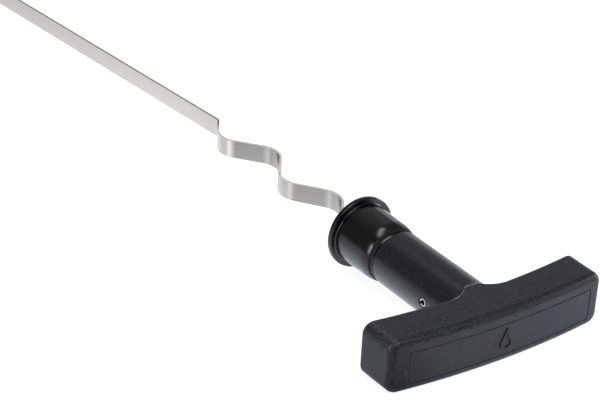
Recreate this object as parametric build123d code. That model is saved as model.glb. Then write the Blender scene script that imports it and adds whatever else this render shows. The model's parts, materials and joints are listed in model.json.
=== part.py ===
from build123d import *
import os
from math import acos, asin, atan2, cos, degrees, hypot, radians, sin, sqrt, tan

# An engine oil dipstick: a moulded T-handle, a rubber seal boot, a spring pin and a crimped steel blade.
# Each piece is made along the stem: +Y runs from the grip to the blade's tip, +X along the grip, +Z up,
# with the middle of the grip's back face at zero. At the end they are laid on the ground as they rest.

# Grip, the bowed bar that two fingers pull
grip_length = 86.6
grip_height = 19.3
grip_depth = 14.6
grip_front_bow = 3.1
grip_back_bow = 3.4
grip_end_taper = 0.3
grip_end_radius = 4.0
grip_edge_radius = 2.5
grip_back_radius = 0.8

# Engraved line around the panel on the grip's front face, with margins to the middle of the line
panel_left_margin = 7.15
panel_right_margin = 5.35
panel_top_margin = 4.75
panel_bottom_margin = 3.2
panel_line_width = 0.5
panel_line_depth = 0.22
panel_corner_radius = 0.8

# Raised outline of an oil drop in the middle of the panel
drop_radius = 2.5
drop_length = 8.2
drop_line_width = 0.9
drop_relief = 0.35
drop_root = 1.0

# Round stem and its flared root, which is cut flush with the grip's top and bottom
stem_diameter = 20.0
stem_length = 42.2
stem_edge_radius = 0.6
root_flare = 4.5
root_flat = 3.4
root_ramp_angle = 35.0
root_setback = 0.2
root_sink = 3.0

# Neck and barbed head that hold the boot
neck_diameter = 12.4
barb_length = 3.4
barb_taper = 1.0

# Rubber boot, a cup for the end of the guide tube
boot_length = 22.1
boot_rear_diameter = 21.7
boot_front_diameter = 22.4
boot_shoulder_length = 4.0
boot_shoulder_radius = 11.0
boot_end_diameter = 18.3
boot_end_radius = 2.4
boot_web = 5.0
boot_root_radius = 0.5
socket_diameter = 15.0
socket_lead_in = 0.8
flange_diameter = 26.4
flange_thickness = 2.0
flange_rim_radius = 0.5

# Steel strip
blade_width = 7.0
blade_thickness = 0.9
tang_start = 7.2
blade_reach = 353.2
blade_lean = 5.2
tip_radius = 3.0

# Crimped waves, given by the corners of the zigzag before they are rounded
crimp_start = 74.2
crimp_pitch = 39.4
crimp_height = 7.4
last_crimp_height = 8.4
last_crimp_run = 13.1
crimp_radius = 9.2
entry_bend_radius = 6.0
exit_bend_radius = 3.0

# Oil level holes, measured back from the tip
level_hole_diameter = 2.4
low_mark = 12.0
high_mark = 34.0

# Slotted spring pin across the stem
pin_place = 15.1
pin_diameter = 3.0
pin_wall = 0.45
pin_chamfer = 0.1
pin_slot = 0.8
pin_slot_angle = 65.0
pin_recess = 0.25
pin_countersink = 0.35

# Clearances, each on one side
pin_clearance = 0.02
tang_clearance = 0.1
boot_clearance = 0.05
barb_clearance = 0.3

# Sizes that follow from the ones above
grip_half = grip_length / 2
grip_top = grip_height / 2
panel_left = panel_left_margin - grip_half
panel_right = grip_half - panel_right_margin
panel_top = grip_top - panel_top_margin
panel_bottom = panel_bottom_margin - grip_top
stem_radius = stem_diameter / 2
neck_radius = neck_diameter / 2
barb_radius = socket_diameter / 2 - barb_clearance
barb_start = stem_length + boot_web + boot_clearance
barb_end = barb_start + barb_length
mouth = stem_length + boot_length
flange_radius = flange_diameter / 2


def bow_radius(half_chord, rise):
    return (half_chord**2 + rise**2) / (2 * rise)


def front_face_y(x):
    """Y of the grip's bowed front face at a distance x from its middle."""
    radius = bow_radius(grip_half - grip_end_taper, grip_front_bow)
    return radius - grip_depth - sqrt(radius**2 - x**2)


def bent_bar():
    """The grip bar, bowed forwards, with well rounded ends, a rounded front and a nearly sharp back."""
    front_half = grip_half - grip_end_taper
    front_end = grip_front_bow - grip_depth
    outline = Curve() + [
        ThreePointArc((-front_half, front_end), (0, -grip_depth), (front_half, front_end)),
        Line((front_half, front_end), (grip_half, grip_back_bow)),
        ThreePointArc((grip_half, grip_back_bow), (0, 0), (-grip_half, grip_back_bow)),
        Line((-grip_half, grip_back_bow), (-front_half, front_end)),
    ]
    bar = extrude(make_face(outline), grip_top, both=True)
    levels = bar.faces().sort_by(Axis.Z)
    end_edges = (levels[0].edges() + levels[-1].edges()).filter_by(GeomType.LINE)
    bar = fillet(end_edges, grip_end_radius)
    bar = fillet(bar.faces().sort_by(Axis.Y)[0].edges(), grip_edge_radius)
    return fillet(bar.faces().sort_by(Axis.Y)[-1].edges(), grip_back_radius)


def panel_line():
    """What the engraved line takes out of the front face: its floor follows the bow at an even depth."""
    width = panel_right - panel_left
    height = panel_top - panel_bottom
    half_line = panel_line_width / 2
    outer_radius = panel_corner_radius + half_line
    inner_radius = panel_corner_radius - half_line
    frame = RectangleRounded(width + panel_line_width, height + panel_line_width, outer_radius)
    frame -= RectangleRounded(width - panel_line_width, height - panel_line_width, inner_radius)
    middle = ((panel_left + panel_right) / 2, 0, (panel_top + panel_bottom) / 2)
    through = extrude(Plane(middle, x_dir=(1, 0, 0), z_dir=(0, -1, 0)) * frame, 2 * grip_depth)
    front_half = grip_half - grip_end_taper
    floor_end = grip_front_bow - grip_depth + panel_line_depth
    outside = -2 * grip_depth
    skin = Curve() + [
        ThreePointArc((-front_half, floor_end), (0, panel_line_depth - grip_depth), (front_half, floor_end)),
        Polyline((front_half, floor_end), (front_half, outside), (-front_half, outside), (-front_half, floor_end)),
    ]
    return through & extrude(make_face(skin), grip_top, both=True)


def teardrop(radius):
    """A drop drawn about the middle of its round end, with its point up."""
    point = radius * (drop_length - drop_radius) / drop_radius
    spread = acos(radius / point)
    side = radius * sin(spread)
    shoulder = radius * cos(spread)
    return Circle(radius) + make_face(Polyline((-side, shoulder), (side, shoulder), (0, point), close=True))


def oil_drop():
    """The raised outline of a drop in the middle of the panel, rooted in the grip."""
    outline = teardrop(drop_radius) - teardrop(drop_radius - drop_line_width)
    middle = (panel_left + panel_right) / 2
    level = (panel_top + panel_bottom - drop_length) / 2 + drop_radius
    face_y = front_face_y(middle) - drop_relief
    drawing = Plane((middle, face_y, level), x_dir=(1, 0, 0), z_dir=(0, -1, 0)) * outline
    return extrude(drawing, -drop_relief - drop_root)


def stem():
    """The flared stem with its neck and barbed head, turned about the Y axis."""
    flare_radius = stem_radius + root_flare
    flare_end = root_flare - root_setback
    flare_mid = root_flare * (1 - cos(radians(45)))
    edge_mid = stem_edge_radius * (1 - cos(radians(45)))
    profile = Curve() + [
        Polyline((0, -root_sink), (flare_radius, -root_sink), (flare_radius, -root_setback)),
        ThreePointArc(
            (flare_radius, -root_setback),
            (stem_radius + flare_mid, flare_mid - root_setback),
            (stem_radius, flare_end),
        ),
        Line((stem_radius, flare_end), (stem_radius, stem_length - stem_edge_radius)),
        ThreePointArc(
            (stem_radius, stem_length - stem_edge_radius),
            (stem_radius - edge_mid, stem_length - edge_mid),
            (stem_radius - stem_edge_radius, stem_length),
        ),
        Polyline(
            (stem_radius - stem_edge_radius, stem_length),
            (neck_radius, stem_length),
            (neck_radius, barb_start),
            (barb_radius, barb_start),
            (barb_radius - barb_taper, barb_end),
            (0, barb_end),
            (0, -root_sink),
        ),
    ]
    turned = revolve(make_face(profile), Axis.Y)
    rise = stem_radius + root_flare - grip_top
    run = rise / tan(radians(root_ramp_angle))
    above = make_face(
        Polyline(
            (-2 * root_sink, grip_top),
            (root_flat, grip_top),
            (root_flat + run, grip_top + rise),
            (-2 * root_sink, grip_top + rise),
            close=True,
        )
    )
    trim = extrude(Plane.YZ * above, 2 * flare_radius, both=True)
    return turned - trim - mirror(trim, Plane.XY)


def across_stem(radius, length):
    """A round bar through the stem at the pin's place."""
    return Pos(Y=pin_place) * Rot(Y=90) * Cylinder(radius, length)


def handle():
    slot_length = barb_end - tang_start + 2 * tang_clearance
    slot = Pos(Y=tang_start - tang_clearance + slot_length / 2) * Box(
        blade_thickness + 2 * tang_clearance, slot_length, blade_width + 2 * tang_clearance
    )
    hole_radius = pin_diameter / 2 + pin_clearance
    sink = Cone(hole_radius, hole_radius + 2 * pin_countersink, 2 * pin_countersink)
    sinks = [
        Pos(X=side * stem_radius, Y=pin_place) * Rot(Y=side * 90) * sink for side in (-1, 1)
    ]
    moulding = bent_bar() - panel_line() + oil_drop() + stem()
    return moulding - slot - across_stem(hole_radius, 2 * stem_diameter) - sinks


def roll_pin():
    length = stem_diameter - 2 * pin_recess
    outer = pin_diameter / 2
    bar = Cylinder(outer, length)
    bar = chamfer(bar.edges().filter_by(GeomType.CIRCLE), pin_chamfer)
    tube = bar - Cylinder(outer - pin_wall, length)
    tube -= Rot(Z=pin_slot_angle) * Pos(X=outer) * Box(pin_diameter, pin_slot, length)
    return Pos(Y=pin_place) * Rot(Y=90) * tube


def round_corner(section, x, y, radius):
    """Round the corner of a drawn section that lies at x, y."""
    return fillet(section.vertices().sort_by_distance((x, y, 0))[0], radius)


def seal_boot():
    """The boot turned about the Y axis: a web on the stem's neck, a shoulder, a cup and a flanged mouth."""
    end = boot_end_diameter / 2
    rear = boot_rear_diameter / 2
    front = boot_front_diameter / 2
    socket = socket_diameter / 2
    hole = neck_radius + boot_clearance
    shoulder = stem_length + boot_shoulder_length
    flange_back = mouth - flange_thickness
    section = make_face(
        Polyline(
            (hole, stem_length),
            (end, stem_length),
            (rear, shoulder),
            (front, flange_back),
            (flange_radius, flange_back),
            (flange_radius, mouth),
            (socket + socket_lead_in, mouth),
            (socket, mouth - socket_lead_in),
            (socket, stem_length + boot_web),
            (hole, stem_length + boot_web),
            close=True,
        )
    )
    section = round_corner(section, end, stem_length, boot_end_radius)
    section = round_corner(section, rear, shoulder, boot_shoulder_radius)
    section = round_corner(section, front, flange_back, boot_root_radius)
    section = round_corner(section, flange_radius, flange_back, flange_rim_radius)
    section = round_corner(section, flange_radius, mouth, flange_rim_radius)
    return revolve(section, Axis.Y)


def blade():
    """The strip bent along its path, standing on edge, with its pin hole, tip and level holes."""
    half_pitch = crimp_pitch / 2
    lean = radians(blade_lean)
    corners = [(0, tang_start), (0, crimp_start)]
    heights = [crimp_height, -crimp_height, crimp_height, -last_crimp_height]
    for count, height in enumerate(heights):
        corners.append((height, crimp_start + half_pitch * (count + 0.5)))
    run_start = Vector(0, corners[-1][1] + last_crimp_run)
    along = Vector(-sin(lean), cos(lean))
    tip = run_start + along * ((blade_reach - run_start.Y) / along.Y)
    corners += [(run_start.X, run_start.Y), (tip.X, tip.Y)]
    radii = [entry_bend_radius] + [crimp_radius] * len(heights) + [exit_bend_radius]
    path = FilletPolyline(*corners, radius=radii)
    strip = extrude(trace(path, blade_thickness), blade_width / 2, both=True)
    end_face = strip.faces().sort_by(Axis.Y)[-1]
    strip = fillet(end_face.edges().filter_by(Axis.Z, reverse=True), tip_radius)
    strip -= across_stem(pin_diameter / 2 + tang_clearance, 4 * blade_thickness)
    for mark in (low_mark, high_mark):
        place = tip - along * mark
        drill = Cylinder(level_hole_diameter / 2, 4 * blade_thickness)
        strip -= Pos(place.X, place.Y, 0) * Rot(Z=blade_lean) * Rot(Y=90) * drill
    return strip


def resting_pitch():
    """Degrees that the stem tips up when the grip's front edge and the flange's rim lie on the ground."""
    edge = (grip_edge_radius - grip_depth, grip_edge_radius - grip_top)
    rim = (mouth - flange_thickness + flange_rim_radius, flange_rim_radius - flange_radius)
    ahead = rim[0] - edge[0]
    lower = rim[1] - edge[1]
    lift = asin((flange_rim_radius - grip_edge_radius) / hypot(ahead, lower))
    return degrees(lift - atan2(lower, ahead))


pieces = {
    "handle": handle(),
    "roll_pin": roll_pin(),
    "seal_boot": seal_boot(),
    "blade": blade(),
}

# Lay the dipstick on the ground, with the middle of its footprint at the origin
tipped = {name: Rot(X=resting_pitch()) * piece for name, piece in pieces.items()}
extent = Compound(children=[piece.solid() for piece in tipped.values()]).bounding_box()
to_origin = Pos(-extent.center().X, -extent.center().Y, -extent.min.Z)

os.makedirs("parts", exist_ok=True)
for name, piece in tipped.items():
    export_step(to_origin * piece, f"parts/{name}.step")
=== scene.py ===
import json
import math

import bpy
from mathutils import Euler, Matrix, Vector

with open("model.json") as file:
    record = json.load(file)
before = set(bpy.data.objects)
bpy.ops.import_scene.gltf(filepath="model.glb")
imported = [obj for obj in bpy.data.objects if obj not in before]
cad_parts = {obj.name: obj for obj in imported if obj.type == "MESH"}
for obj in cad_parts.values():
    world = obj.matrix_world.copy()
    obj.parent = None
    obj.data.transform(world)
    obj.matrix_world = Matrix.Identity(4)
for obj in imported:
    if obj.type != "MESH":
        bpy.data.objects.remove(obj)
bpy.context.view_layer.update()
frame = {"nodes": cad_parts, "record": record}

# Handle: one injection moulding with a bowed grip, a bordered panel, a round stem and a barbed neck.
# It is black glass-filled nylon. The grip is moulded against a spark-eroded, matt cavity and the
# stem against a polished core, so one shot of plastic has two finishes.
tube_socket = frame["record"]["mounts"][0]
socket_mouth = Vector(tube_socket["pos_m"])
stem_axis = Vector(tube_socket["axis"])
stem_pitch = math.atan2(stem_axis.z, stem_axis.y)
to_stem = Matrix.Rotation(-stem_pitch, 3, "X")
# Places along the stem are measured from the middle of the grip's back face.
mouth_from_grip = 0.0643
grip_back = socket_mouth - mouth_from_grip * stem_axis


def linear(hex_code):
    """Linear colour with full alpha from an sRGB hex code."""
    levels = [int(hex_code[start : start + 2], 16) / 255 for start in (1, 3, 5)]
    return [v / 12.92 if v <= 0.04045 else ((v + 0.055) / 1.055) ** 2.4 for v in levels] + [1.0]


def add_node(tree, kind, sockets=None, **settings):
    """Add a node with its settings, then give each named socket its link or its value."""
    node = tree.nodes.new(kind)
    for name, value in settings.items():
        setattr(node, name, value)
    for name, value in (sockets or {}).items():
        if isinstance(value, bpy.types.NodeSocket):
            tree.links.new(value, node.inputs[name])
        else:
            node.inputs[name].default_value = value
    return node


# Moulded nylon: a dark, faintly blue plastic that scatters softly where the cavity was eroded and
# has a satin shine where it was polished.
nylon = bpy.data.materials.new("moulded_nylon")
nylon.use_nodes = True
tree = nylon.node_tree
tree.nodes.clear()
place = add_node(tree, "ShaderNodeTexCoord")
along_stem = add_node(
    tree,
    "ShaderNodeMapping",
    {
        "Vector": place.outputs["Object"],
        "Rotation": (-stem_pitch, 0, 0),
        "Location": -(to_stem @ grip_back),
    },
)
axes = add_node(tree, "ShaderNodeSeparateXYZ", {0: along_stem.outputs[0]})
across = add_node(
    tree, "ShaderNodeVectorMath", {0: along_stem.outputs[0], 1: (1, 0, 1)}, operation="MULTIPLY"
)
from_axis = add_node(tree, "ShaderNodeVectorMath", {0: across.outputs[0]}, operation="LENGTH")
# The polished core covers the stem and its flared root, apart from the root's flats, which lie flush
# with the top and bottom of the grip.
root_flat = 0.0034
root_fade = 0.0005
flare_radius = 0.0144
flare_fade = 0.0002
grip_top = 0.00965
flush_start = 0.00003
flush_full = 0.00008
past_grip = add_node(
    tree, "ShaderNodeMapRange", {"Value": axes.outputs["Y"], "From Min": -flare_fade, "From Max": 0.0}
)
past_root = add_node(
    tree,
    "ShaderNodeMapRange",
    {"Value": axes.outputs["Y"], "From Min": root_flat, "From Max": root_flat + root_fade},
)
near_axis = add_node(
    tree,
    "ShaderNodeMapRange",
    {"Value": from_axis.outputs["Value"], "From Min": flare_radius, "From Max": flare_radius - flare_fade},
)
above = add_node(tree, "ShaderNodeMath", {0: axes.outputs["Z"]}, operation="ABSOLUTE")
below_top = add_node(
    tree,
    "ShaderNodeMapRange",
    {"Value": above.outputs[0], "From Min": grip_top - flush_start, "From Max": grip_top - flush_full},
)
off_flat = add_node(
    tree, "ShaderNodeMath", {0: past_root.outputs[0], 1: below_top.outputs[0]}, operation="MAXIMUM"
)
on_core = add_node(
    tree, "ShaderNodeMath", {0: past_grip.outputs[0], 1: near_axis.outputs[0]}, operation="MULTIPLY"
)
polished = add_node(
    tree, "ShaderNodeMath", {0: on_core.outputs[0], 1: off_flat.outputs[0]}, operation="MULTIPLY"
)
# The eroded grain is about 0.2 mm on such grips; it is drawn at 0.6 mm so that it shows.
grain_size = 0.0006
grain = add_node(
    tree,
    "ShaderNodeTexNoise",
    {"Vector": place.outputs["Object"], "Scale": 1 / grain_size, "Detail": 3.0, "Roughness": 0.6},
)
# Handling leaves broad, faint patches about 9 mm across.
patch_size = 0.009
patches = add_node(
    tree,
    "ShaderNodeTexNoise",
    {"Vector": place.outputs["Object"], "Scale": 1 / patch_size, "Detail": 2.0, "Roughness": 0.5},
)
# The peaks of the grain are rubbed paler than the hollows, plainly on the grip and faintly on the stem.
hollow_level = 0.39
peak_level = 0.61
rubbed = add_node(
    tree,
    "ShaderNodeMapRange",
    {"Value": grain.outputs["Fac"], "From Min": hollow_level, "From Max": peak_level},
)
matt_colour = add_node(
    tree,
    "ShaderNodeMix",
    {"Factor": rubbed.outputs[0], "A": linear("#07090b"), "B": linear("#2f3640")},
    data_type="RGBA",
)
stem_colour = add_node(
    tree,
    "ShaderNodeMix",
    {"Factor": rubbed.outputs[0], "A": linear("#121418"), "B": linear("#22252b")},
    data_type="RGBA",
)
finish_colour = add_node(
    tree,
    "ShaderNodeMix",
    {
        "Factor": polished.outputs[0],
        "A": matt_colour.outputs["Result"],
        "B": stem_colour.outputs["Result"],
    },
    data_type="RGBA",
)
# The nearly sharp back edges of the grip are painted paler, in a band about 0.5 mm wide: a painted
# highlight where they catch the light. An edge is found where the normal, averaged over a short reach,
# turns away from the true one.
edge_reach = 0.0012
edge_start = 0.992
edge_full = 0.93
highlight_front = -0.003
highlight_back = 0.004
highlight_fade = 0.0005
around_edge = add_node(tree, "ShaderNodeBevel", {"Radius": edge_reach}, samples=8)
facing = add_node(tree, "ShaderNodeNewGeometry")
agreement = add_node(
    tree,
    "ShaderNodeVectorMath",
    {0: around_edge.outputs[0], 1: facing.outputs["Normal"]},
    operation="DOT_PRODUCT",
)
at_edge = add_node(
    tree,
    "ShaderNodeMapRange",
    {"Value": agreement.outputs["Value"], "From Min": edge_start, "From Max": edge_full},
)
before_stem = add_node(
    tree,
    "ShaderNodeMapRange",
    {
        "Value": axes.outputs["Y"],
        "From Min": highlight_back + highlight_fade,
        "From Max": highlight_back - highlight_fade,
    },
)
behind_front = add_node(
    tree,
    "ShaderNodeMapRange",
    {
        "Value": axes.outputs["Y"],
        "From Min": highlight_front - highlight_fade,
        "From Max": highlight_front + highlight_fade,
    },
)
on_back = add_node(
    tree, "ShaderNodeMath", {0: before_stem.outputs[0], 1: behind_front.outputs[0]}, operation="MULTIPLY"
)
edge_highlight = add_node(
    tree, "ShaderNodeMath", {0: at_edge.outputs[0], 1: on_back.outputs[0]}, operation="MULTIPLY"
)
# The pale colour mixed in here is a painted highlight on the grip's back edges.
edge_highlight_colour = add_node(
    tree,
    "ShaderNodeMix",
    {"Factor": edge_highlight.outputs[0], "A": finish_colour.outputs["Result"], "B": linear("#8d939b")},
    data_type="RGBA",
)
# The countersink around the pin is painted nearly black, as painted shade in the hollow, and it is made
# rough.
pin_from_grip = 0.0151
sink_radius = 0.00188
sink_fade = 0.00004
off_pin = add_node(
    tree,
    "ShaderNodeVectorMath",
    {0: along_stem.outputs[0], 1: (0, pin_from_grip, 0)},
    operation="SUBTRACT",
)
across_pin = add_node(
    tree, "ShaderNodeVectorMath", {0: off_pin.outputs[0], 1: (0, 1, 1)}, operation="MULTIPLY"
)
from_pin = add_node(tree, "ShaderNodeVectorMath", {0: across_pin.outputs[0]}, operation="LENGTH")
sink_shade = add_node(
    tree,
    "ShaderNodeMapRange",
    {"Value": from_pin.outputs["Value"], "From Min": sink_radius + sink_fade, "From Max": sink_radius},
)
# The nearly black colour mixed in here is painted shade in the countersink.
sink_shade_colour = add_node(
    tree,
    "ShaderNodeMix",
    {"Factor": sink_shade.outputs[0], "A": edge_highlight_colour.outputs["Result"], "B": linear("#040405")},
    data_type="RGBA",
)
# The engraved line around the panel is painted paler, as painted light that lifts the shade in the groove.
panel_middle = (0.0009, 0, -0.000775)
panel_half_length = 0.03705
panel_half_height = 0.005675
panel_corner = 0.0008
line_half = 0.00025
line_fade = 0.00005
panel_front = -0.0075
panel_fade = 0.0005
off_panel = add_node(
    tree, "ShaderNodeVectorMath", {0: along_stem.outputs[0], 1: panel_middle}, operation="SUBTRACT"
)
over_panel = add_node(
    tree, "ShaderNodeVectorMath", {0: off_panel.outputs[0], 1: (1, 0, 1)}, operation="MULTIPLY"
)
one_quarter = add_node(tree, "ShaderNodeVectorMath", {0: over_panel.outputs[0]}, operation="ABSOLUTE")
past_corner = add_node(
    tree,
    "ShaderNodeVectorMath",
    {
        0: one_quarter.outputs[0],
        1: (panel_half_length - panel_corner, 0, panel_half_height - panel_corner),
    },
    operation="SUBTRACT",
)
outside = add_node(
    tree, "ShaderNodeVectorMath", {0: past_corner.outputs[0], 1: (0, 0, 0)}, operation="MAXIMUM"
)
from_corner = add_node(tree, "ShaderNodeVectorMath", {0: outside.outputs[0]}, operation="LENGTH")
past_line = add_node(
    tree, "ShaderNodeMath", {0: from_corner.outputs["Value"], 1: panel_corner}, operation="SUBTRACT"
)
off_line = add_node(tree, "ShaderNodeMath", {0: past_line.outputs[0]}, operation="ABSOLUTE")
on_line = add_node(
    tree,
    "ShaderNodeMapRange",
    {"Value": off_line.outputs[0], "From Min": line_half + line_fade, "From Max": line_half - line_fade},
)
on_front = add_node(
    tree,
    "ShaderNodeMapRange",
    {
        "Value": axes.outputs["Y"],
        "From Min": panel_front + panel_fade,
        "From Max": panel_front - panel_fade,
    },
)
groove_light = add_node(
    tree, "ShaderNodeMath", {0: on_line.outputs[0], 1: on_front.outputs[0]}, operation="MULTIPLY"
)
# The paler colour mixed in here is painted light in the engraved line.
groove_light_colour = add_node(
    tree,
    "ShaderNodeMix",
    {"Factor": groove_light.outputs[0], "A": sink_shade_colour.outputs["Result"], "B": linear("#464c55")},
    data_type="RGBA",
)
# A few pale specks of dust, 0.4 mm across, cling to the skin, far apart.
speck_spacing = 0.007
speck_radius = 0.0002
speck_core = 0.00012
specks = add_node(
    tree, "ShaderNodeTexVoronoi", {"Vector": place.outputs["Object"], "Scale": 1 / speck_spacing}
)
dusty = add_node(
    tree,
    "ShaderNodeMapRange",
    {
        "Value": specks.outputs["Distance"],
        "From Min": speck_radius / speck_spacing,
        "From Max": speck_core / speck_spacing,
    },
)
nylon_colour = add_node(
    tree,
    "ShaderNodeMix",
    {"Factor": dusty.outputs[0], "A": groove_light_colour.outputs["Result"], "B": linear("#a9abad")},
    data_type="RGBA",
)
# Nearly all of a noise pattern's values lie between these two.
noise_low = 0.3
noise_high = 0.7
polished_roughness = 0.27
sink_roughness = 0.8
matt_roughness = add_node(
    tree,
    "ShaderNodeMapRange",
    {
        "Value": patches.outputs["Fac"],
        "From Min": noise_low,
        "From Max": noise_high,
        "To Min": 0.38,
        "To Max": 0.46,
    },
)
finish_roughness = add_node(
    tree,
    "ShaderNodeMix",
    {"Factor": polished.outputs[0], "A": matt_roughness.outputs[0], "B": polished_roughness},
    data_type="FLOAT",
)
nylon_roughness = add_node(
    tree,
    "ShaderNodeMix",
    {"Factor": sink_shade.outputs[0], "A": finish_roughness.outputs["Result"], "B": sink_roughness},
    data_type="FLOAT",
)
# The grain stands up less where the core was polished.
grain_depth = 0.00012
relief = add_node(
    tree, "ShaderNodeMapRange", {"Value": polished.outputs[0], "To Min": 0.8, "To Max": 0.45}
)
bump = add_node(
    tree,
    "ShaderNodeBump",
    {"Strength": relief.outputs[0], "Distance": grain_depth, "Height": grain.outputs["Fac"]},
)
surface = add_node(
    tree,
    "ShaderNodeBsdfPrincipled",
    {
        "Base Color": nylon_colour.outputs["Result"],
        "Roughness": nylon_roughness.outputs["Result"],
        "IOR": 1.53,
        "Normal": bump.outputs["Normal"],
    },
)
add_node(tree, "ShaderNodeOutputMaterial", {"Surface": surface.outputs[0]})
frame["nodes"]["handle"].data.materials[0] = nylon

# Blade: 7 mm spring steel strip, standing on edge, pressed into waves so that it grips its tube.
# It is stainless steel, slit from rolled sheet, and its flat tang is pinned into a slot in the stem.

# Rolled stainless steel: a soft, warm white sheen, drawn out across the fine lines of the rolls.
stainless = bpy.data.materials.new("rolled_stainless_steel")
stainless.use_nodes = True
tree = stainless.node_tree
tree.nodes.clear()
place = add_node(tree, "ShaderNodeTexCoord")
along_stem = add_node(
    tree,
    "ShaderNodeMapping",
    {
        "Vector": place.outputs["Object"],
        "Rotation": (-stem_pitch, 0, 0),
        "Location": -(to_stem @ grip_back),
    },
)
axes = add_node(tree, "ShaderNodeSeparateXYZ", {0: along_stem.outputs[0]})
# Rolling lines are 0.1 mm or finer; they are drawn 0.3 mm wide and run 30 mm before they fade.
line_width = 0.0003
line_length = 0.03
stretched = add_node(
    tree,
    "ShaderNodeMapping",
    {"Vector": along_stem.outputs[0], "Scale": (1 / line_length, 1 / line_length, 1 / line_width)},
)
lines = add_node(
    tree,
    "ShaderNodeTexNoise",
    {"Vector": stretched.outputs[0], "Scale": 1.0, "Detail": 3.0, "Roughness": 0.6},
)
bright_colour = add_node(
    tree,
    "ShaderNodeMix",
    {"Factor": lines.outputs["Fac"], "A": linear("#c8beb3"), "B": linear("#e8dfd4")},
    data_type="RGBA",
)
# Painted shade: the darker colour for the flats of the waves.
flat_shade_colour = add_node(
    tree,
    "ShaderNodeMix",
    {"Factor": lines.outputs["Fac"], "A": linear("#97938c"), "B": linear("#c3beb5")},
    data_type="RGBA",
)
# The flats of the waves are painted darker, as painted shade for the dimmer reflection they show; the
# bends between them stay bright.
waves_start = 0.0735
waves_end = 0.1525
waves_fade = 0.002
flat_half = 0.0042
flat_fade = 0.0012
past_start = add_node(
    tree,
    "ShaderNodeMapRange",
    {"Value": axes.outputs["Y"], "From Min": waves_start, "From Max": waves_start + waves_fade},
)
before_end = add_node(
    tree,
    "ShaderNodeMapRange",
    {"Value": axes.outputs["Y"], "From Min": waves_end, "From Max": waves_end - waves_fade},
)
aside = add_node(tree, "ShaderNodeMath", {0: axes.outputs["X"]}, operation="ABSOLUTE")
on_flat = add_node(
    tree,
    "ShaderNodeMapRange",
    {"Value": aside.outputs[0], "From Min": flat_half + flat_fade, "From Max": flat_half},
)
in_waves = add_node(
    tree, "ShaderNodeMath", {0: past_start.outputs[0], 1: before_end.outputs[0]}, operation="MULTIPLY"
)
shaded_flats = add_node(
    tree, "ShaderNodeMath", {0: in_waves.outputs[0], 1: on_flat.outputs[0]}, operation="MULTIPLY"
)
face_colour = add_node(
    tree,
    "ShaderNodeMix",
    {
        "Factor": shaded_flats.outputs[0],
        "A": bright_colour.outputs["Result"],
        "B": flat_shade_colour.outputs["Result"],
    },
    data_type="RGBA",
)
face_roughness = add_node(
    tree,
    "ShaderNodeMapRange",
    {
        "Value": lines.outputs["Fac"],
        "From Min": noise_low,
        "From Max": noise_high,
        "To Min": 0.36,
        "To Max": 0.46,
    },
)
# The slit edges of the strip are torn rather than rolled, so they scatter the light; they are dark with
# oil along the straight run and rubbed pale on the waves.
slit_edge = 0.00348
slit_fade = 0.00006
slit_roughness = 0.7
slit_metal = 0.2
above = add_node(tree, "ShaderNodeMath", {0: axes.outputs["Z"]}, operation="ABSOLUTE")
on_edge = add_node(
    tree,
    "ShaderNodeMapRange",
    {"Value": above.outputs[0], "From Min": slit_edge - slit_fade, "From Max": slit_edge},
)
edge_colour = add_node(
    tree,
    "ShaderNodeMix",
    {"Factor": in_waves.outputs[0], "A": linear("#a5a19b"), "B": linear("#f0ede8")},
    data_type="RGBA",
)
steel_colour = add_node(
    tree,
    "ShaderNodeMix",
    {
        "Factor": on_edge.outputs[0],
        "A": face_colour.outputs["Result"],
        "B": edge_colour.outputs["Result"],
    },
    data_type="RGBA",
)
steel_roughness = add_node(
    tree,
    "ShaderNodeMix",
    {"Factor": on_edge.outputs[0], "A": face_roughness.outputs[0], "B": slit_roughness},
    data_type="FLOAT",
)
steel_metal = add_node(
    tree, "ShaderNodeMapRange", {"Value": on_edge.outputs[0], "To Min": 1.0, "To Max": slit_metal}
)
line_depth = 0.00003
bump = add_node(
    tree, "ShaderNodeBump", {"Strength": 0.2, "Distance": line_depth, "Height": lines.outputs["Fac"]}
)
# The lines spread each reflection across the strip, which stands on edge.
across_lines = add_node(
    tree, "ShaderNodeCombineXYZ", {"X": 0.0, "Y": -stem_axis.z, "Z": stem_axis.y}
)
surface = add_node(
    tree,
    "ShaderNodeBsdfPrincipled",
    {
        "Base Color": steel_colour.outputs["Result"],
        "Metallic": steel_metal.outputs[0],
        "Roughness": steel_roughness.outputs["Result"],
        "Anisotropic": 0.85,
        "Tangent": across_lines.outputs[0],
        "Normal": bump.outputs["Normal"],
    },
)
add_node(tree, "ShaderNodeOutputMaterial", {"Surface": surface.outputs[0]})
frame["nodes"]["blade"].data.materials[0] = stainless

# Roll pin: a slotted spring pin that is driven across the stem and through the blade's tang.
# It is rolled from spring steel, and bright on the flat of each end where it was struck.

# Oiled spring steel: a bright ring on each end, and nearly black wherever oil and grime have settled.
spring_steel = bpy.data.materials.new("oiled_spring_steel")
spring_steel.use_nodes = True
tree = spring_steel.node_tree
tree.nodes.clear()
place = add_node(tree, "ShaderNodeTexCoord")
pin_middle = grip_back + pin_from_grip * stem_axis
about_pin = add_node(
    tree,
    "ShaderNodeMapping",
    {
        "Vector": place.outputs["Object"],
        "Scale": (0, 1, 1),
        "Location": (0, -pin_middle.y, -pin_middle.z),
    },
)
from_middle = add_node(tree, "ShaderNodeVectorMath", {0: about_pin.outputs[0]}, operation="LENGTH")
worn_radius = 0.00118
worn_half = 0.00014
worn_fade = 0.00004
past_ring = add_node(
    tree, "ShaderNodeMath", {0: from_middle.outputs["Value"], 1: worn_radius}, operation="SUBTRACT"
)
off_ring = add_node(tree, "ShaderNodeMath", {0: past_ring.outputs[0]}, operation="ABSOLUTE")
worn = add_node(
    tree,
    "ShaderNodeMapRange",
    {"Value": off_ring.outputs[0], "From Min": worn_half + worn_fade, "From Max": worn_half},
)
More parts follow.
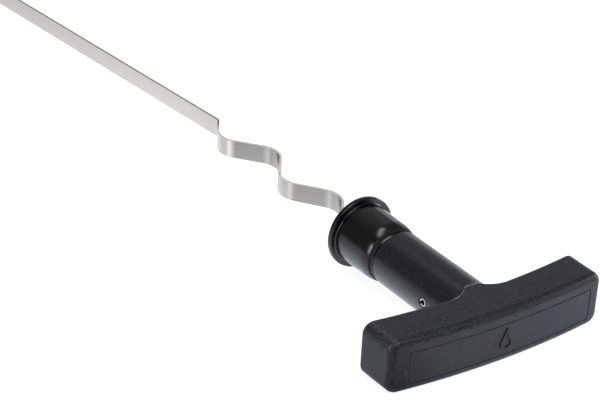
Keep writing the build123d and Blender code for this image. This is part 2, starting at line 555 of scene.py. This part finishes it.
pin_colour = add_node(
    tree,
    "ShaderNodeMix",
    {"Factor": worn.outputs[0], "A": linear("#1a1a1c"), "B": linear("#e4e4e2")},
    data_type="RGBA",
)
# Tumbling leaves marks about 0.2 mm apart.
mark_size = 0.0002
marks = add_node(
    tree,
    "ShaderNodeTexNoise",
    {"Vector": place.outputs["Object"], "Scale": 1 / mark_size, "Detail": 2.0},
)
pin_roughness = add_node(
    tree,
    "ShaderNodeMapRange",
    {
        "Value": marks.outputs["Fac"],
        "From Min": noise_low,
        "From Max": noise_high,
        "To Min": 0.22,
        "To Max": 0.36,
    },
)
surface = add_node(
    tree,
    "ShaderNodeBsdfPrincipled",
    {"Base Color": pin_colour.outputs["Result"], "Metallic": 1.0, "Roughness": pin_roughness.outputs[0]},
)
add_node(tree, "ShaderNodeOutputMaterial", {"Surface": surface.outputs[0]})
frame["nodes"]["roll_pin"].data.materials[0] = spring_steel

# Seal boot: a round cup with a flanged mouth, pushed over the stem's barbed neck.
# It is nitrile rubber from a polished mould, and a trace of oil keeps it glossy.

# Polished nitrile rubber: a deep black that mirrors the room, a little unevenly.
nitrile = bpy.data.materials.new("polished_nitrile_rubber")
nitrile.use_nodes = True
tree = nitrile.node_tree
tree.nodes.clear()
place = add_node(tree, "ShaderNodeTexCoord")
along_stem = add_node(
    tree,
    "ShaderNodeMapping",
    {
        "Vector": place.outputs["Object"],
        "Rotation": (-stem_pitch, 0, 0),
        "Location": -(to_stem @ grip_back),
    },
)
axes = add_node(tree, "ShaderNodeSeparateXYZ", {0: along_stem.outputs[0]})
# The oil film gathers in patches about 6 mm across.
film_size = 0.006
film = add_node(
    tree,
    "ShaderNodeTexNoise",
    {"Vector": place.outputs["Object"], "Scale": 1 / film_size, "Detail": 3.0, "Roughness": 0.55},
)
film_roughness = add_node(
    tree,
    "ShaderNodeMapRange",
    {
        "Value": film.outputs["Fac"],
        "From Min": noise_low,
        "From Max": noise_high,
        "To Min": 0.18,
        "To Max": 0.25,
    },
)
# A band 1 mm wide near the rear end is painted darker and made matt, as painted shade where the shoulder
# turns in to the stem.
band_from_grip = 0.0442
band_half = 0.0005
band_fade = 0.0002
band_roughness = 0.9
past_band = add_node(
    tree, "ShaderNodeMath", {0: axes.outputs["Y"], 1: band_from_grip}, operation="SUBTRACT"
)
off_band = add_node(tree, "ShaderNodeMath", {0: past_band.outputs[0]}, operation="ABSOLUTE")
shaded_band = add_node(
    tree,
    "ShaderNodeMapRange",
    {"Value": off_band.outputs[0], "From Min": band_half + band_fade, "From Max": band_half - band_fade},
)
# The nearly black colour in the band is painted shade.
rubber_colour = add_node(
    tree,
    "ShaderNodeMix",
    {"Factor": shaded_band.outputs[0], "A": linear("#0b0b0d"), "B": linear("#020202")},
    data_type="RGBA",
)
rubber_roughness = add_node(
    tree,
    "ShaderNodeMix",
    {"Factor": shaded_band.outputs[0], "A": film_roughness.outputs[0], "B": band_roughness},
    data_type="FLOAT",
)
surface = add_node(
    tree,
    "ShaderNodeBsdfPrincipled",
    {
        "Base Color": rubber_colour.outputs["Result"],
        "Roughness": rubber_roughness.outputs["Result"],
        "IOR": 1.52,
    },
)
add_node(tree, "ShaderNodeOutputMaterial", {"Surface": surface.outputs[0]})
frame["nodes"]["seal_boot"].data.materials[0] = nitrile

# Floor: a white studio table, wide enough to fill the view from any side.
# It shows white to the camera, less the soft shadow that the dipstick casts on it, and its pool of
# light is brightest beside and behind the dipstick, which is what the black pieces mirror.
table_half = 4.0
bpy.ops.object.select_all(action="DESELECT")
bpy.ops.mesh.primitive_plane_add(size=2 * table_half)
table = bpy.context.object
table.name = "studio_table"
# White laminate: plain and matt, with no reflection of its own.
laminate = bpy.data.materials.new("white_laminate")
laminate.use_nodes = True
tree = laminate.node_tree
tree.nodes.clear()
place = add_node(tree, "ShaderNodeTexCoord")
ray = add_node(tree, "ShaderNodeLightPath")
axes = add_node(tree, "ShaderNodeSeparateXYZ", {0: place.outputs["Object"]})
# The pool grows to the right and to the back, fast at first and then slowly, from its edge by the grip:
# each step has its axis, where it starts, where it ends and how much light it adds.
pool_steps = (
    ("X", -0.038, -0.016, 0.64),
    ("X", -0.016, 0.06, 0.14),
    ("Y", -0.185, -0.165, 0.47),
    ("Y", -0.165, -0.1, 0.12),
    ("Y", -0.03, 0.05, 0.5),
)
pool = 0.0
for axis, start, end, share in pool_steps:
    step = add_node(
        tree,
        "ShaderNodeMapRange",
        {"Value": axes.outputs[axis], "From Min": start, "From Max": end, "To Max": share},
    )
    total = add_node(tree, "ShaderNodeMath", {0: pool, 1: step.outputs[0]}, operation="ADD")
    pool = total.outputs[0]
# Away from the dipstick the pool fades out sideways.
pool_half = 0.05
pool_edge = 0.22
aside = add_node(tree, "ShaderNodeMath", {0: axes.outputs["X"]}, operation="ABSOLUTE")
near = add_node(
    tree, "ShaderNodeMapRange", {"Value": aside.outputs[0], "From Min": pool_edge, "From Max": pool_half}
)
pool_light = add_node(tree, "ShaderNodeMath", {0: pool, 1: near.outputs[0]}, operation="MULTIPLY")
# The glow fills the table up to white where the lamps alone would leave it grey.
seen_glow = 0.84
mirrored_glow = 1.05
mirrored = add_node(
    tree,
    "ShaderNodeMath",
    {0: ray.outputs["Is Glossy Ray"], 1: ray.outputs["Is Transmission Ray"]},
    operation="MAXIMUM",
)
mirrored_pool = add_node(
    tree, "ShaderNodeMath", {0: mirrored.outputs[0], 1: pool_light.outputs[0]}, operation="MULTIPLY"
)
mirrored_part = add_node(
    tree, "ShaderNodeMath", {0: mirrored_pool.outputs[0], 1: mirrored_glow}, operation="MULTIPLY"
)
glow = add_node(
    tree,
    "ShaderNodeMath",
    {0: ray.outputs["Is Camera Ray"], 1: seen_glow, 2: mirrored_part.outputs[0]},
    operation="MULTIPLY_ADD",
)
glow_colour = add_node(
    tree,
    "ShaderNodeMix",
    {"Factor": ray.outputs["Is Camera Ray"], "A": linear("#e6eefb"), "B": linear("#ffffff")},
    data_type="RGBA",
)
surface = add_node(
    tree,
    "ShaderNodeBsdfPrincipled",
    {
        "Base Color": linear("#c8c8c8"),
        "Roughness": 0.9,
        "Specular IOR Level": 0.0,
        "Emission Color": glow_colour.outputs["Result"],
        "Emission Strength": glow.outputs[0],
    },
)
add_node(tree, "ShaderNodeOutputMaterial", {"Surface": surface.outputs[0]})
table.data.materials.append(laminate)

# Room: an even, faintly blue grey that fills the shadows.
# It is white where the camera sees past the table.
room = bpy.data.worlds.new("studio_room")
bpy.context.scene.world = room
room.use_nodes = True
tree = room.node_tree
tree.nodes.clear()
ray = add_node(tree, "ShaderNodeLightPath")
room_fill = 0.16
room_level = add_node(
    tree,
    "ShaderNodeMapRange",
    {"Value": ray.outputs["Is Camera Ray"], "To Min": room_fill, "To Max": 1.0},
)
room_colour = add_node(
    tree,
    "ShaderNodeMix",
    {"Factor": ray.outputs["Is Camera Ray"], "A": linear("#e9f0fb"), "B": linear("#ffffff")},
    data_type="RGBA",
)
background = add_node(
    tree,
    "ShaderNodeBackground",
    {"Color": room_colour.outputs["Result"], "Strength": room_level.outputs[0]},
)
add_node(tree, "ShaderNodeOutputWorld", {"Surface": background.outputs[0]})

# Lamps: one soft box overhead, one high in front, one low on each side and two dim cards at the back.
# Each hangs a metre from the boot. The gaps between them leave the dark bands that the black rubber
# and plastic mirror.
soft_boxes = (
    {"name": "front_box", "heading": 192, "height": 50, "width": 0.72, "depth": 0.22, "radiance": 6.0},
    {"name": "top_box", "heading": -30, "height": 73, "width": 0.62, "depth": 0.24, "radiance": 4.6},
    {"name": "left_box", "heading": -86, "height": 16, "width": 0.24, "depth": 0.56, "radiance": 6.2},
    {"name": "right_box", "heading": 105, "height": 10, "width": 0.5, "depth": 0.28, "radiance": 7.0},
    {"name": "back_card", "heading": 50, "height": 9, "width": 0.6, "depth": 0.3, "radiance": 0.75},
    {"name": "high_card", "heading": 16, "height": 38, "width": 1.0, "depth": 0.44, "radiance": 0.24},
)
for soft_box in soft_boxes:
    lamp = bpy.data.lights.new(soft_box["name"], "AREA")
    lamp.shape = "RECTANGLE"
    lamp.size = soft_box["width"]
    lamp.size_y = soft_box["depth"]
    lamp.energy = soft_box["radiance"] * math.pi * soft_box["width"] * soft_box["depth"]
    box = bpy.data.objects.new(soft_box["name"], lamp)
    bpy.context.scene.collection.objects.link(box)
    # The heading turns right from +Y, and the height is the angle above the table.
    turn = Euler((math.radians(soft_box["height"]), 0, math.radians(-soft_box["heading"])))
    to_lamp = turn.to_matrix() @ Vector((0, 1, 0))
    box.location = socket_mouth + to_lamp
    box.rotation_euler = (-to_lamp).to_track_quat("-Z", "Y").to_euler()

# Camera: on the photograph's line of sight, with the lens that its perspective fits.
# It looks down on the dipstick from the front left.
camera = bpy.data.objects.new("camera", bpy.data.cameras.new("camera"))
bpy.context.scene.collection.objects.link(camera)
camera.data.sensor_width = 36.0
camera.data.lens = 108.364
camera.data.clip_start = 0.01
camera.location = (-0.333546, -0.551148, 0.298733)
camera.rotation_euler = Euler((math.radians(63.7878), math.radians(-0.9014), math.radians(-34.2177)))
bpy.context.scene.camera = camera
bpy.context.scene.view_settings.view_transform = "Standard"
